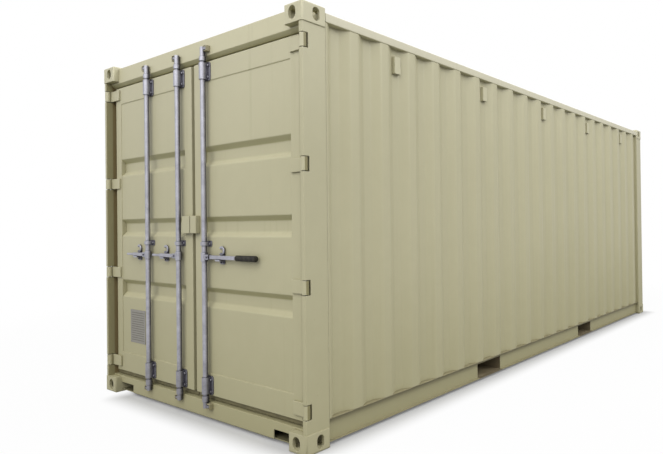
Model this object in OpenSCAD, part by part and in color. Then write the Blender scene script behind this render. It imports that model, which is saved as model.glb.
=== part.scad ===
// Steel freight container with two hinged end doors, lock bars and swing handles.
// Frame: millimetres, +Z up, origin at the middle of the underside, doors facing -Y.

/* [Overall] */
// Length over the corner castings
length = 6058; // [4600:1:9200]
// Width over the corner castings
width = 2438; // [2400:1:2600]
// Height over the corner castings
height = 2591; // [2550:1:2900]

/* [Corner castings] */
// Length of a casting along the container
cast_l = 178; // [174:1:190]
// Width of a casting across the container
cast_w = 162; // [156:1:166]
// Height of a casting
cast_h = 118; // [114:1:122]
// Thickness of a casting's upright walls
cast_wall = 22; // [14:1:28]
// Thickness of a casting's level plates
cast_plate = 28; // [18:1:32]
// Rounding of a casting's edges
cast_round = 13; // [4:1:13]
// Length of the twist lock slot
lock_slot_l = 124; // [110:1:126]
// Width of the twist lock slot and of the end hole
lock_slot_w = 63.5; // [50:0.5:66]
// Height of the hand holes in a casting's side and end
hand_hole_h = 79.5; // [60:0.5:82]
// Width of the hand hole in a casting's side
side_hole_w = 51; // [40:0.5:60]
// Distance of the slot's middle from the casting's side face
slot_from_side = 89; // [84:0.5:94]
// Distance of the slot's middle from the casting's end face
slot_from_end = 102.5; // [98:0.5:104]

/* [Posts and rails] */
// Inset of the posts and top rails from the castings' side faces
post_inset = 5; // [3:0.5:10]
// Plate thickness of the posts
post_wall = 6; // [4:0.5:8]
// Setback of the door post's lip from the casting's end face
lip_setback = 4; // [2:0.5:10]
// Width of the door post's lip
lip_w = 30; // [27:0.5:34]
// Setback of the jamb that stands behind the door's edge
jamb_setback = 110; // [108:1:124]
// Reach of the jamb behind the edge of the door leaf
jamb_lap = 15; // [8:1:40]
// Height of the top side rail
top_rail_h = 56; // [50:1:90]
// Width of the top side rail
top_rail_w = 60; // [50:1:70]
// Drop of the top rails below the castings' top faces
top_drop = 28; // [6:1:34]
// Wall of the top side rail
rail_wall = 4; // [3:0.5:6]
// Height of the underside of the rails and sills
base_gap = 20; // [14:1:30]
// Width of the bottom side rail's upper flange
bottom_rail_w = 48; // [44:1:56]
// Width of the bottom side rail's lower flange
bottom_lip_w = 30; // [20:1:40]

/* [Walls, roof and floor] */
// Thickness of the steel sheets
sheet_t = 2; // [1.5:0.1:3]
// Inset of the side walls from the castings' side faces
wall_inset = 8; // [6:0.5:14]
// Distance between the side wall's corrugations
wave_pitch = 278; // [260:1:320]
// Width of a corrugation's inner face
wave_flat = 70; // [50:1:80]
// Width of a corrugation's slope
wave_slope = 68; // [30:1:80]
// Depth of the side wall's corrugations
wave_depth = 36; // [20:1:40]
// Distance of the middle corrugation from the container's middle
wave_shift = 27; // [-60:1:60]
// Flat margin at each end of a corrugated sheet
wave_margin = 16; // [8:1:24]
// Distance between the roof's corrugations
roof_pitch = 209; // [180:1:260]
// Width of a roof corrugation's lower face
roof_flat = 91; // [60:1:110]
// Depth of the roof's corrugations
roof_depth = 20; // [10:1:24]
// Height of the floor's upper face
floor_top = 168; // [164:1:170]
// Thickness of the floor
floor_t = 28; // [20:1:34]
// Distance between the floor's cross members
cross_pitch = 290; // [260:1:400]
// Width of a cross member
cross_w = 45; // [30:1:60]
// Thickness of a cross member's steel
cross_t = 4; // [3:0.5:6]

/* [Fork pockets] */
// Distance between the middles of the fork pockets
fork_spacing = 2050; // [1900:1:2200]
// Clear width of a fork pocket
fork_w = 360; // [300:1:380]
// Thickness of a fork pocket's plates
fork_t = 5; // [4:0.5:8]
// Length of the plate that closes a fork pocket's underside at each end
fork_plate_l = 320; // [100:1:600]

/* [Vents] */
// Corrugations from one vent hood to the next
vent_step_n = 4; // [2:1:6]
// Vent hoods on each side of the middle one
vent_half_n = 2; // [0:1:2]
// Width of a vent hood
vent_w = 60; // [40:1:68]
// Height of a vent hood
vent_h = 118; // [80:1:140]
// Depth of a vent hood
vent_d = 26; // [14:1:30]
// Drop of a vent hood below the top rail
vent_drop = 54; // [20:1:120]

/* [Door end] */
// Setback of the header and sill faces from the castings' end faces
header_setback = 45; // [44:0.5:50]
// Height of the door header
header_h = 138; // [110:1:150]
// Height of the sloping drip edge at the header's foot
drip_h = 23; // [14:1:40]
// Depth of the sloping drip edge at the header's foot
drip_d = 25; // [8:1:40]
// Drop of the header below the castings' top faces
header_drop = 15; // [8:1:24]
// Height of the sill's front face
sill_h = 109; // [100:1:116]
// Length of the notch at each end of the sill
notch_l = 190; // [100:1:260]
// Height of the notches in the sill
notch_h = 60; // [40:1:70]
// Seam between the header or sill and the plates at its ends
end_seam = 0.3; // [0.2:0.1:0.6]

/* [Door leaves] */
// Setback of the leaves' faces from the castings' end faces
leaf_setback = 52; // [52:0.5:58]
// Thickness of a door leaf
leaf_t = 50; // [48:1:52]
// Distance of a leaf's outer edge from the casting's side face
leaf_edge = 94; // [88:1:110]
// Half the gap between the two leaves
leaf_half_gap = 18; // [14:1:24]
// Gap between the leaves and the header
leaf_top_gap = 16; // [12:1:30]
// Gap between the leaves and the sill
leaf_bottom_gap = 43; // [34:1:54]
// Width of a leaf's outer stile
outer_stile_w = 80; // [76:1:100]
// Width of a leaf's inner stile
inner_stile_w = 90; // [80:1:110]
// Height of a leaf's top rail
leaf_top_h = 129; // [90:1:140]
// Height of a leaf's bottom rail
leaf_bottom_h = 146; // [136:1:160]
// Wall of the leaf's frame members
leaf_wall = 4; // [3:0.5:6]
// Setback of the panel behind the leaf's frame
panel_setback = 4; // [2:0.5:6]
// Distance between the panel's pressed bands
band_pitch = 477; // [380:1:520]
// Height of a pressed band
band_h = 132; // [100:1:170]
// Height of a pressed band's slopes
band_slope = 32; // [15:1:40]
// Depth of the pressed bands
band_depth = 30; // [15:1:34]
// Thickness of the rubber seal
seal_t = 20; // [12:1:24]
// Distance of the seal behind the leaf's face
seal_back = 26; // [22:1:28]
// Clearance between the seal and what it closes against
seal_gap = 6; // [5:0.5:8]
// Gap between the two leaves' seals
seal_middle_gap = 8; // [8:0.5:14]

/* [Hinges] */
// Hinges on each leaf
hinge_n = 4; // [3:1:5]
// Distance of the top hinge's middle below the leaf's top edge
hinge_top = 57; // [42:1:120]
// Distance of the bottom hinge's middle above the leaf's bottom edge
hinge_bottom = 73; // [62:1:140]
// Height of a hinge strap
hinge_h = 80; // [60:1:82]
// Thickness of a hinge strap
hinge_t = 13; // [10:0.5:13]
// Lap of a hinge strap over the leaf
hinge_lap = 70; // [50:1:76]
// Distance of a hinge pin from the casting's side face
pin_from_side = 22; // [21:0.5:24]
// Setback of a hinge pin from the casting's end face
pin_setback = 22; // [21:0.5:24]
// Radius of a hinge pin
pin_r = 10; // [7:0.5:11]
// Radius of a hinge knuckle
knuckle_r = 20; // [17:0.5:20]
// Clearance around a hinge pin
pin_fit = 0.4; // [0.3:0.1:0.6]
// Clearance above and below a knuckle
hinge_play = 4; // [2:0.5:6]
// Thickness of the lug above and below a knuckle
lug_t = 15; // [10:1:20]

/* [Lock bars] */
// Places of the lock bars across the door end
bar_places = [-580, -152, 172]; // [-1000:1:1000]
// Radius of a lock bar
bar_r = 17; // [14:0.5:18]
// Setback of the bars' axes from the castings' end faces
bar_setback = 24; // [23:0.5:26]
// Lap of the bars over the header
bar_top_lap = 78; // [60:1:90]
// Lap of the bars over the sill
bar_bottom_lap = 37; // [30:1:60]
// Clearance around a bar in its brackets
bar_fit = 0.5; // [0.3:0.1:0.8]
// Reach of a cam from its bar's axis
cam_reach = 44; // [36:1:60]
// Height of a cam
cam_h = 16; // [12:1:24]
// Thickness of a cam
cam_t = 14; // [10:1:18]
// Distance of a cam from the end of its bar
cam_end = 6; // [2:1:10]
// Radius of the boss that joins a cam to its bar
boss_r = 22; // [18:0.5:24]
// Clearance of a boss above and below
boss_play = 5; // [3:0.5:8]
// Radius of the hub that carries a handle's fork
hub_r = 22; // [18:0.5:24]
// Height of the hub that carries a handle's fork
hub_h = 60; // [36:1:80]
// Clearance around a cam in its keeper
cam_gap = 6; // [5:0.5:8]
// Plate thickness of a cam keeper
keeper_t = 5; // [4:0.5:8]
// Setback of a cam keeper's front edge
keeper_setback = 15; // [4:1:16]
// Half the width of an end bracket
bracket_half_w = 52; // [40:1:80]
// Half the width of a middle bracket
mid_bracket_half_w = 44; // [38:1:70]
// Rounding of an end bracket plate's corners
bracket_end_round = 18; // [4:1:24]
// Rounding of the corners of the middle brackets and the catches
bracket_round = 12; // [4:1:16]
// Height of the end brackets
bracket_h = 126; // [80:1:130]
// Height of the middle brackets
mid_bracket_h = 40; // [36:1:60]
// Distance of the end brackets from the leaf's edges
bracket_end = 6; // [4:1:20]
// Plate thickness of a bracket
bracket_t = 6; // [4:0.5:8]
// Wall of a bracket's collar around its bar
collar_wall = 7; // [4:0.5:8]
// Margin of a bracket's plate above and below its collar
collar_margin = 8; // [6:1:14]

/* [Handles] */
// Height of the handles' pivots
handle_z = 1103; // [1050:1:1150]
// Reach of each handle from its bar
handle_reach = [-316, -361, 557]; // [-700:1:700]
// Distance of each handle's catch from its bar
catch_reach = [-175, -210, 168]; // [-400:1:400]
// Radius of a handle's rod
rod_r = 9; // [7:0.5:10]
// Height of a handle's flat part
flat_h = 26; // [19:1:32]
// Rounding of the edges of a handle's flat part
flat_round = 5; // [2:0.5:8]
// Length of a bare handle's flat part past the middle of its catch
flat_past = 40; // [30:1:80]
// Gap between a handle's flat part and its grip
flat_gap = 2; // [1:0.5:6]
// Thickness of a handle's eye and tongue
tongue_t = 12; // [8:1:14]
// Length of a handle's tongue
tongue_l = 34; // [30:1:40]
// Lap of a handle's rod over its tongue
rod_lap = 5; // [2:1:8]
// Radius of the eye at a handle's pivot
eye_r = 17; // [14:1:18]
// Distance of a handle's pivot from its bar's axis
pivot_reach = 44; // [40:1:50]
// Radius of a handle's pivot pin
pivot_r = 6; // [4:0.5:8]
// Clearance at a handle's pivot
pivot_fit = 0.5; // [0.3:0.1:0.8]
// Thickness of a pivot cheek
cheek_t = 7; // [5:0.5:8]
// Height of the middle bracket above the handle's pivot
bracket_rise = 69; // [66:1:80]
// Width of a handle catch
catch_w = 50; // [34:1:60]
// Reach of a handle catch above the handle's middle
catch_above = 74; // [60:1:90]
// Reach of a handle catch below the handle's middle
catch_below = 46; // [30:1:60]
// Radius of a catch's hook to the middle of its band
hook_r = 24; // [16:0.5:28]
// Width of the band of a catch's hook
hook_w = 16; // [8:1:20]
// Thickness of the band of a catch's hook
hook_t = 10; // [6:0.5:11]
// Rounding of the edges of a catch's hook
hook_round = 3; // [1:0.5:4]
// Thickness of a catch's ledge
ledge_t = 11; // [8:1:14]
// Gap between a handle and its catch's ledge
ledge_gap = 0.3; // [0.2:0.1:0.6]
// Setback of a ledge's front edge
ledge_setback = 12; // [10:1:18]
// Length of the rubber grip
grip_l = 183; // [120:1:280]
// Thickness of the rubber around the rod
grip_wall = 10; // [4:0.5:11]

/* [Lock plate and data plate] */
// Height of the lock plate's lower edge
lock_z = 1262; // [1255:1:1300]
// Height of the lock plate
lock_h = 120; // [90:1:126]
// Reach of the lock plate to the left of the middle
lock_left = 100; // [60:1:104]
// Reach of the lock plate to the right of the middle
lock_right = 76; // [50:1:80]
// Depth of the lock plate's box
lock_depth = 32; // [20:1:36]
// Wall of the lock plate's box
lock_wall = 5; // [3:0.5:8]
// Distance of the data plate from the outer stile
plate_edge = 128; // [60:1:200]
// Height of the data plate's lower edge
plate_z = 412; // [380:1:460]
// Width of the data plate
plate_w = 226; // [150:1:240]
// Height of the data plate
plate_h = 256; // [150:1:270]
// Thickness of the data plate
plate_t = 3; // [2:0.5:4]

/* [Hidden] */
$fn = 48;
CUT = 1;
HOOK_TURN = 270;
PAINT = [0.60, 0.57, 0.42];
UNDERCOAT = [0.27, 0.26, 0.21];
ZINC = [0.62, 0.64, 0.69];
RUBBER = [0.10, 0.10, 0.10];
PLYWOOD = [0.55, 0.42, 0.28];
ALUMINIUM = [0.60, 0.61, 0.62];

// Faces of the box frame
half_l = length / 2;
half_w = width / 2;
bay = half_l - cast_l;
cast_inner = half_w - cast_w;
post_x = half_w - post_inset;
post_top = height - cast_h;
top_rail_z = height - top_drop - top_rail_h;
wall_x = half_w - wall_inset;
web_x = wall_x - bottom_rail_w;
floor_z = floor_top - floor_t;

// Faces of the doorway and its leaves
header_top = height - header_drop;
header_z = header_top - header_h;
sill_top = base_gap + sill_h;
leaf_top = header_z - leaf_top_gap;
leaf_z = sill_top + leaf_bottom_gap;
leaf_x = half_w - leaf_edge;
leaf_back = leaf_setback + leaf_t;
lip_x = post_x - lip_w;
panel_x0 = leaf_half_gap + inner_stile_w;
panel_x1 = leaf_x - outer_stile_w;
panel_z0 = leaf_z + leaf_bottom_h;
panel_z1 = leaf_top - leaf_top_h;
panel_face = leaf_setback + panel_setback;
pin_x = half_w - pin_from_side;
hinge_zs = [for (i = [0 : hinge_n - 1])
    leaf_z + hinge_bottom + i * (leaf_top - hinge_top - leaf_z - hinge_bottom) / (hinge_n - 1)];

// Places along the lock bars
bar_top = header_z + bar_top_lap;
bar_z = sill_top - bar_bottom_lap;
cam_zs = [bar_z + cam_end, bar_top - cam_end - cam_h];
boss_ends = [[sill_top + boss_play, leaf_z + bracket_end - boss_play],
    [leaf_top - bracket_end + boss_play, header_z + drip_h - 2 * boss_play]];
mid_bracket_z = handle_z + bracket_rise;

// Distance along the container for a setback from the door end
function at(setback) = setback - half_l;

// Middles of the corrugations that fit between two ends
function wave_middles(a0, a1, flat, slope, pitch, shift) =
    [for (k = [ceil((a0 + flat / 2 + slope / 2 - shift) / pitch) :
               floor((a1 - flat / 2 - slope / 2 - shift) / pitch)]) shift + k * pitch];

// Line of a pressed sheet: flat at depth 0, with a recess at each middle
function wave_line(middles, flat, slope, depth, a0, a1) = concat(
    [[a0, 0]],
    [for (m = middles) each [
        [max(m - flat / 2 - slope, a0), 0], [m - flat / 2, depth],
        [m + flat / 2, depth], [min(m + flat / 2 + slope, a1), 0]]],
    [[a1, 0]]);

// Outline of a sheet of thickness t that follows a line
function sheet_outline(line, t) = concat(line, [for (i = [len(line) - 1 : -1 : 0]) line[i] + [0, t]]);

// Block between two values on each axis, with setbacks from the door end along the container
module block(x0, x1, back0, back1, z0, z1) {
    translate([x0, at(back0), z0])
        cube([x1 - x0, back1 - back0, z1 - z0]);
}

// Profile with x as setback and y as height, drawn out along the container's width
module across(x0, x1) {
    translate([x0, -half_l, 0])
        rotate([90, 0, 90])
            linear_extrude(x1 - x0)
                children();
}

// Rectangle with rounded corners, from the origin
module round_rect(a, b, r) {
    translate([r, 0])
        square([a - 2 * r, b]);
    translate([0, r])
        square([a, b - 2 * r]);
    for (x = [r, a - r], y = [r, b - r])
        translate([x, y])
            circle(r);
}

// Slot with round ends, long along Y and cut along Z
module slot(long, wide, depth) {
    translate([-wide / 2, (wide - long) / 2, 0])
        cube([wide, long - wide, depth]);
    for (s = [-1, 1])
        translate([0, s * (long - wide) / 2, 0])
            cylinder(d = wide, h = depth);
}

// Solid of a casting, its outer edges rounded and its inner level face left flat
module casting_body() {
    over = cast_h + cast_round;
    translate([-cast_w, 0, 0])
        intersection() {
            linear_extrude(cast_h)
                round_rect(cast_w, cast_l, cast_round);
            translate([0, cast_l, 0])
                rotate([90, 0, 0])
                    linear_extrude(cast_l)
                        round_rect(cast_w, over, cast_round);
            rotate([90, 0, 90])
                linear_extrude(cast_w)
                    round_rect(cast_l, over, cast_round);
        }
}

// Hollow corner casting, its outer corner at the origin and its body towards -X, +Y, +Z
module casting() {
    difference() {
        casting_body();
        translate([cast_wall - cast_w, cast_wall, cast_plate])
            cube([cast_w - 2 * cast_wall, cast_l - 2 * cast_wall, cast_h - 2 * cast_plate]);
        translate([-slot_from_side, slot_from_end, -CUT])
            slot(lock_slot_l, lock_slot_w, cast_plate + 2 * CUT);
        translate([-slot_from_side, -CUT, cast_h / 2])
            rotate([-90, 0, 0])
                slot(hand_hole_h, lock_slot_w, cast_wall + 2 * CUT);
        translate([CUT, slot_from_end, cast_h / 2])
            rotate([0, -90, 0])
                rotate([0, 0, 90])
                    slot(hand_hole_h, side_hole_w, cast_wall + 2 * CUT);
    }
}

// Castings at both ends of one long edge on the right
module casting_pair() {
    for (end = [0, 1])
        mirror([0, end, 0])
            translate([half_w, -half_l, 0])
                casting();
}

module bottom_castings_right() {
    color(PAINT)
        casting_pair();
}

module bottom_castings_left() {
    mirror([1, 0, 0])
        bottom_castings_right();
}

module top_castings_right() {
    translate([0, 0, height])
        mirror([0, 0, 1])
            bottom_castings_right();
}

module top_castings_left() {
    mirror([1, 0, 0])
        top_castings_right();
}

// Folded plate section of the door post: lip, web, jamb and outer skin around a hollow
module door_post_section() {
    jamb_x = leaf_x - jamb_lap;
    difference() {
        union() {
            translate([lip_x, at(lip_setback)])
                square([lip_w, cast_l - lip_setback]);
            translate([jamb_x, at(jamb_setback)])
                square([post_x - jamb_x, cast_l - jamb_setback]);
        }
        translate([lip_x + post_wall, at(lip_setback + post_wall)])
            square([lip_w - 2 * post_wall, cast_l - lip_setback - 2 * post_wall]);
        translate([jamb_x + post_wall, at(jamb_setback + post_wall)])
            square([post_x - jamb_x - 2 * post_wall, cast_l - jamb_setback - 2 * post_wall]);
    }
}

// Door post, cut away around each hinge knuckle, with bored lugs above and below it
module rear_post_right() {
    room = hinge_h / 2 + hinge_play;
    color(PAINT)
        difference() {
            union() {
                translate([0, 0, cast_h])
                    linear_extrude(post_top - cast_h)
                        door_post_section();
                for (z = hinge_zs)
                    block(lip_x, post_x, lip_setback, pin_setback + knuckle_r,
                        z - room - lug_t, z + room + lug_t);
            }
            for (z = hinge_zs) {
                block(lip_x - CUT, pin_x, 0, leaf_setback + 2 * hinge_play, z - room, z + room);
                block(pin_x - CUT, post_x + CUT, 0, pin_setback + knuckle_r + hinge_play,
                    z - room, z + room);
                translate([pin_x, at(pin_setback), z - room - lug_t - CUT])
                    cylinder(r = pin_r, h = 2 * (room + lug_t + CUT));
            }
        }
}

module rear_post_left() {
    mirror([1, 0, 0])
        rear_post_right();
}

// Square tubular posts at the blank end
module front_posts() {
    color(PAINT)
        for (side = [0, 1])
            mirror([side, 0, 0])
                translate([cast_inner, bay, cast_h])
                    difference() {
                        cube([post_x - cast_inner, cast_l - post_inset, post_top - cast_h]);
                        translate([post_wall, post_wall, -CUT])
                            cube([post_x - cast_inner - 2 * post_wall,
                                cast_l - post_inset - 2 * post_wall, post_top - cast_h + 2 * CUT]);
                    }
}

// Tubular top rails between the castings
module top_rails() {
    color(PAINT)
        for (side = [0, 1])
            mirror([side, 0, 0])
                translate([post_x - top_rail_w, -bay, top_rail_z])
                    difference() {
                        cube([top_rail_w, 2 * bay, top_rail_h]);
                        translate([rail_wall, -CUT, rail_wall])
                            cube([top_rail_w - 2 * rail_wall, 2 * (bay + CUT), top_rail_h - 2 * rail_wall]);
                    }
}

// Channel bottom rails, open to the outside, cut through at the fork pockets
module bottom_rails() {
    color(PAINT)
        for (side = [0, 1])
            mirror([side, 0, 0])
                difference() {
                    union() {
                        translate([web_x, -bay, base_gap])
                            cube([rail_wall, 2 * bay, floor_top - base_gap]);
                        translate([web_x, -bay, floor_top - rail_wall])
                            cube([bottom_rail_w, 2 * bay, rail_wall]);
                        translate([web_x, -bay, base_gap])
                            cube([bottom_lip_w, 2 * bay, rail_wall]);
                    }
                    for (end = [-1, 1])
                        translate([web_x - CUT, end * fork_spacing / 2 - fork_w / 2, base_gap + rail_wall])
                            cube([rail_wall + 2 * CUT, fork_w, floor_z - fork_t - base_gap - rail_wall]);
                }
}

// Section of the door header: a folded box whose foot slopes back as a drip edge
module header_section() {
    inner = header_setback + post_wall;
    difference() {
        polygon([[header_setback, header_z + drip_h], [header_setback + drip_d, header_z],
            [cast_l, header_z], [cast_l, header_top], [header_setback, header_top]]);
        polygon([[inner, header_z + drip_h],
            [inner + drip_d * (1 - post_wall / drip_h), header_z + post_wall],
            [cast_l - post_wall, header_z + post_wall], [cast_l - post_wall, header_top - post_wall],
            [inner, header_top - post_wall]]);
    }
}

// Header over the doors, with a jamb flange behind the leaves' top edges; under each casting its
// foot is carried on to the post's lip
module door_header() {
    color(PAINT) {
        across(-cast_inner, cast_inner) {
            header_section();
            translate([jamb_setback, leaf_top - jamb_lap])
                square([post_wall, header_z - leaf_top + jamb_lap + CUT]);
        }
        for (side = [0, 1])
            mirror([side, 0, 0])
                across(cast_inner + end_seam, lip_x)
                    intersection() {
                        header_section();
                        translate([header_setback, header_z])
                            square([jamb_setback - header_setback, post_top - header_z]);
                    }
    }
}

// Door sill: box with a step up to the floor, a notch in its face beside each casting and a plate
// over the casting
module door_sill() {
    color(PAINT) {
        for (side = [0, 1])
            mirror([side, 0, 0])
                block(cast_inner + end_seam, lip_x, header_setback, jamb_setback, cast_h, sill_top);
        difference() {
            across(-cast_inner, cast_inner)
                difference() {
                    union() {
                        translate([header_setback, base_gap])
                            square([cast_l - header_setback, sill_h]);
                        translate([jamb_setback, base_gap])
                            square([cast_l - jamb_setback, floor_top - base_gap]);
                    }
                    translate([header_setback + post_wall, base_gap + post_wall])
                        square([cast_l - header_setback - 2 * post_wall, sill_h - 2 * post_wall]);
                    translate([jamb_setback + post_wall, base_gap + post_wall])
                        square([cast_l - jamb_setback - 2 * post_wall,
                            floor_top - base_gap - 2 * post_wall]);
                }
            for (s = [-1, 1])
                translate([s * (cast_inner - notch_l / 2) - notch_l / 2 - CUT, at(header_setback) - CUT,
                    base_gap - CUT])
                    cube([notch_l + 2 * CUT, post_wall + CUT, notch_h + CUT]);
        }
    }
}

// Box rail across the top of the blank end
module front_header() {
    color(PAINT)
        translate([-cast_inner, bay, top_rail_z])
            difference() {
                cube([2 * cast_inner, cast_l - post_inset, top_rail_h]);
                translate([-CUT, rail_wall, rail_wall])
                    cube([2 * (cast_inner + CUT), cast_l - post_inset - 2 * rail_wall,
                        top_rail_h - 2 * rail_wall]);
            }
}

// Box rail across the bottom of the blank end
module front_sill() {
    color(PAINT)
        translate([-cast_inner, bay, base_gap])
            difference() {
                cube([2 * cast_inner, cast_l - post_inset, floor_top - base_gap]);
                translate([-CUT, rail_wall, rail_wall])
                    cube([2 * (cast_inner + CUT), cast_l - post_inset - 2 * rail_wall,
                        floor_top - base_gap - 2 * rail_wall]);
            }
}

// Side wall sheet with upright corrugations, between the bottom and the top rail; at the blank end
// it may stop in the recess of a corrugation cut short
module side_wall_right() {
    end = bay - wave_margin;
    middles = wave_middles(-end, end, wave_flat, wave_slope, wave_pitch, wave_shift);
    last = middles[len(middles) - 1] + wave_pitch - wave_flat / 2;
    cut_short = last < end;
    line = concat([[-bay, 0]],
        wave_line(middles, wave_flat, wave_slope, wave_depth, -end, cut_short ? last - wave_slope : end),
        cut_short ? [[last, wave_depth], [bay, wave_depth]] : [[bay, 0]]);
    color(PAINT)
        translate([0, 0, floor_top])
            linear_extrude(top_rail_z - floor_top)
                polygon([for (p = sheet_outline(line, sheet_t)) [wall_x - p[1], p[0]]]);
}

module side_wall_left() {
    mirror([1, 0, 0])
        side_wall_right();
}

// Blank end wall with upright corrugations
module front_wall() {
    end = cast_inner - wave_margin;
    middles = wave_middles(-end, end, wave_flat, wave_slope, wave_pitch, 0);
    line = concat([[-cast_inner, 0]], wave_line(middles, wave_flat, wave_slope, wave_depth, -end, end),
        [[cast_inner, 0]]);
    color(PAINT)
        translate([0, half_l - wall_inset, floor_top])
            linear_extrude(top_rail_z - floor_top)
                polygon([for (p = sheet_outline(line, sheet_t)) [p[0], -p[1]]]);
}

// Roof sheet with shallow corrugations from side to side
module roof() {
    end = bay - wave_margin;
    slope = (roof_pitch - 2 * roof_flat) / 2;
    middles = wave_middles(-end, end, roof_flat, slope, roof_pitch, 0);
    line = concat([[-bay, 0]], wave_line(middles, roof_flat, slope, roof_depth, -end, end), [[bay, 0]]);
    roof_x = post_x - top_rail_w;
    color(PAINT)
        translate([-roof_x, 0, height - top_drop])
            rotate([90, 0, 90])
                linear_extrude(2 * roof_x)
                    polygon([for (p = sheet_outline(line, sheet_t)) [p[0], -p[1]]]);
}

// Plywood floor between the bottom rails
module floor_deck() {
    color(PLYWOOD)
        translate([-web_x, -bay, floor_z])
            cube([2 * web_x, 2 * bay, floor_t]);
}

// Channel cross members under the floor, left out where a fork pocket runs
module cross_members() {
    n = floor((bay - cross_w) / cross_pitch);
    pocket = fork_w / 2 + fork_t;
    color(UNDERCOAT)
        for (k = [-n : n])
            if (abs(abs(k * cross_pitch) - fork_spacing / 2) > pocket + cross_w)
                translate([-web_x, k * cross_pitch - cross_w / 2, base_gap])
                    difference() {
                        cube([2 * web_x, cross_w, floor_z - base_gap]);
                        translate([-CUT, cross_t, cross_t])
                            cube([2 * (web_x + CUT), cross_w, floor_z - base_gap - 2 * cross_t]);
                    }
}

// Fork pockets: a roofed tunnel from side to side, its underside closed at each end by a plate that
// reaches out into the bottom rail
module fork_pockets() {
    outer_w = fork_w + 2 * fork_t;
    color(UNDERCOAT)
        for (end = [-1, 1])
            translate([-web_x, end * fork_spacing / 2 - outer_w / 2, base_gap]) {
                difference() {
                    cube([2 * web_x, outer_w, floor_z - base_gap]);
                    translate([-CUT, fork_t, -CUT])
                        cube([2 * (web_x + CUT), fork_w, floor_z - base_gap - fork_t + CUT]);
                }
                for (x = [0, 2 * web_x - fork_plate_l])
                    translate([x, 0, 0])
                        cube([fork_plate_l, outer_w, fork_t]);
            }
}

// Vent hoods in the side walls' recesses, open at the bottom
module vents() {
    z = top_rail_z - vent_drop - vent_h;
    color(PAINT)
        for (side = [0, 1], k = [-vent_half_n : vent_half_n])
            mirror([side, 0, 0])
                translate([wall_x - wave_depth, wave_shift + k * vent_step_n * wave_pitch - vent_w / 2, z])
                    difference() {
                        cube([vent_d, vent_w, vent_h]);
                        translate([sheet_t, sheet_t, -CUT])
                            cube([vent_d - 2 * sheet_t, vent_w - 2 * sheet_t, vent_h - sheet_t + CUT]);
                    }
}

// Hinge pins held by the door posts' lugs
module hinge_pins() {
    grip = hinge_h / 2 + hinge_play + lug_t;
    color(ZINC)
        for (side = [0, 1], z = hinge_zs)
            mirror([side, 0, 0])
                translate([pin_x, at(pin_setback), z - grip])
                    cylinder(r = pin_r, h = 2 * grip);
}

// Keepers on the header and sill: two level cheeks and an end plate around each cam
module cam_keepers() {
    near = bar_r + cam_gap;
    far = cam_reach + cam_gap;
    color(PAINT)
        for (i = [0 : len(bar_places) - 1], z = cam_zs)
            translate([bar_places[i], at(keeper_setback), z])
                mirror([handle_reach[i] < 0 ? 1 : 0, 0, 0]) {
                    depth = header_setback - keeper_setback;
                    translate([far, 0, -cam_gap - keeper_t])
                        cube([keeper_t, depth, cam_h + 2 * (cam_gap + keeper_t)]);
                    for (cheek_z = [-cam_gap - keeper_t, cam_h + cam_gap])
                        translate([near, 0, cheek_z])
                            cube([far - near, depth, keeper_t]);
                }
}

// Leaf frame: pressed channel stiles and rails, hollow behind
module right_door_frame() {
    color(PAINT)
        difference() {
            block(leaf_half_gap, leaf_x, leaf_setback, leaf_back, leaf_z, leaf_top);
            block(panel_x0, panel_x1, leaf_setback - CUT, leaf_back + CUT, panel_z0, panel_z1);
            difference() {
                block(leaf_half_gap + leaf_wall, leaf_x - leaf_wall,
                    leaf_setback + leaf_wall, leaf_back + CUT,
                    leaf_z + leaf_wall, leaf_top - leaf_wall);
                block(panel_x0 - leaf_wall, panel_x1 + leaf_wall, leaf_setback, leaf_back + 2 * CUT,
                    panel_z0 - leaf_wall, panel_z1 + leaf_wall);
            }
        }
}

module left_door_frame() {
    mirror([1, 0, 0])
        right_door_frame();
}

// Leaf panel with three pressed bands
module right_door_panel() {
    middle = (panel_z0 + panel_z1) / 2;
    flat = band_h - 2 * band_slope;
    line = wave_line([for (k = [-1 : 1]) middle + k * band_pitch], flat, band_slope, band_depth,
        panel_z0, panel_z1);
    color(PAINT)
        across(panel_x0, panel_x1)
            polygon([for (p = sheet_outline(line, sheet_t)) [panel_face + p[1], p[0]]]);
}

module left_door_panel() {
    mirror([1, 0, 0])
        right_door_panel();
}

// Rubber seal around the leaf's edge
module right_door_seal() {
    back0 = leaf_setback + seal_back;
    back1 = back0 + seal_t;
    color(RUBBER)
        difference() {
            block(seal_middle_gap / 2, lip_x - seal_gap, back0, back1,
                sill_top + seal_gap, header_z - seal_gap);
            block(leaf_half_gap, leaf_x, back0 - CUT, back1 + CUT, leaf_z, leaf_top);
        }
}

module left_door_seal() {
    mirror([1, 0, 0])
        right_door_seal();
}

// Hinge straps on the leaf, each with a bored knuckle
module right_door_hinges() {
    color(PAINT)
        for (z = hinge_zs)
            difference() {
                union() {
                    block(leaf_x - hinge_lap, pin_x, leaf_setback - hinge_t, leaf_setback,
                        z - hinge_h / 2, z + hinge_h / 2);
                    translate([pin_x, at(pin_setback), z - hinge_h / 2])
                        cylinder(r = knuckle_r, h = hinge_h);
                }
                translate([pin_x, at(pin_setback), z - hinge_h / 2 - CUT])
                    cylinder(r = pin_r + pin_fit, h = hinge_h + 2 * CUT);
            }
}

module left_door_hinges() {
    mirror([1, 0, 0])
        right_door_hinges();
}

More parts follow.
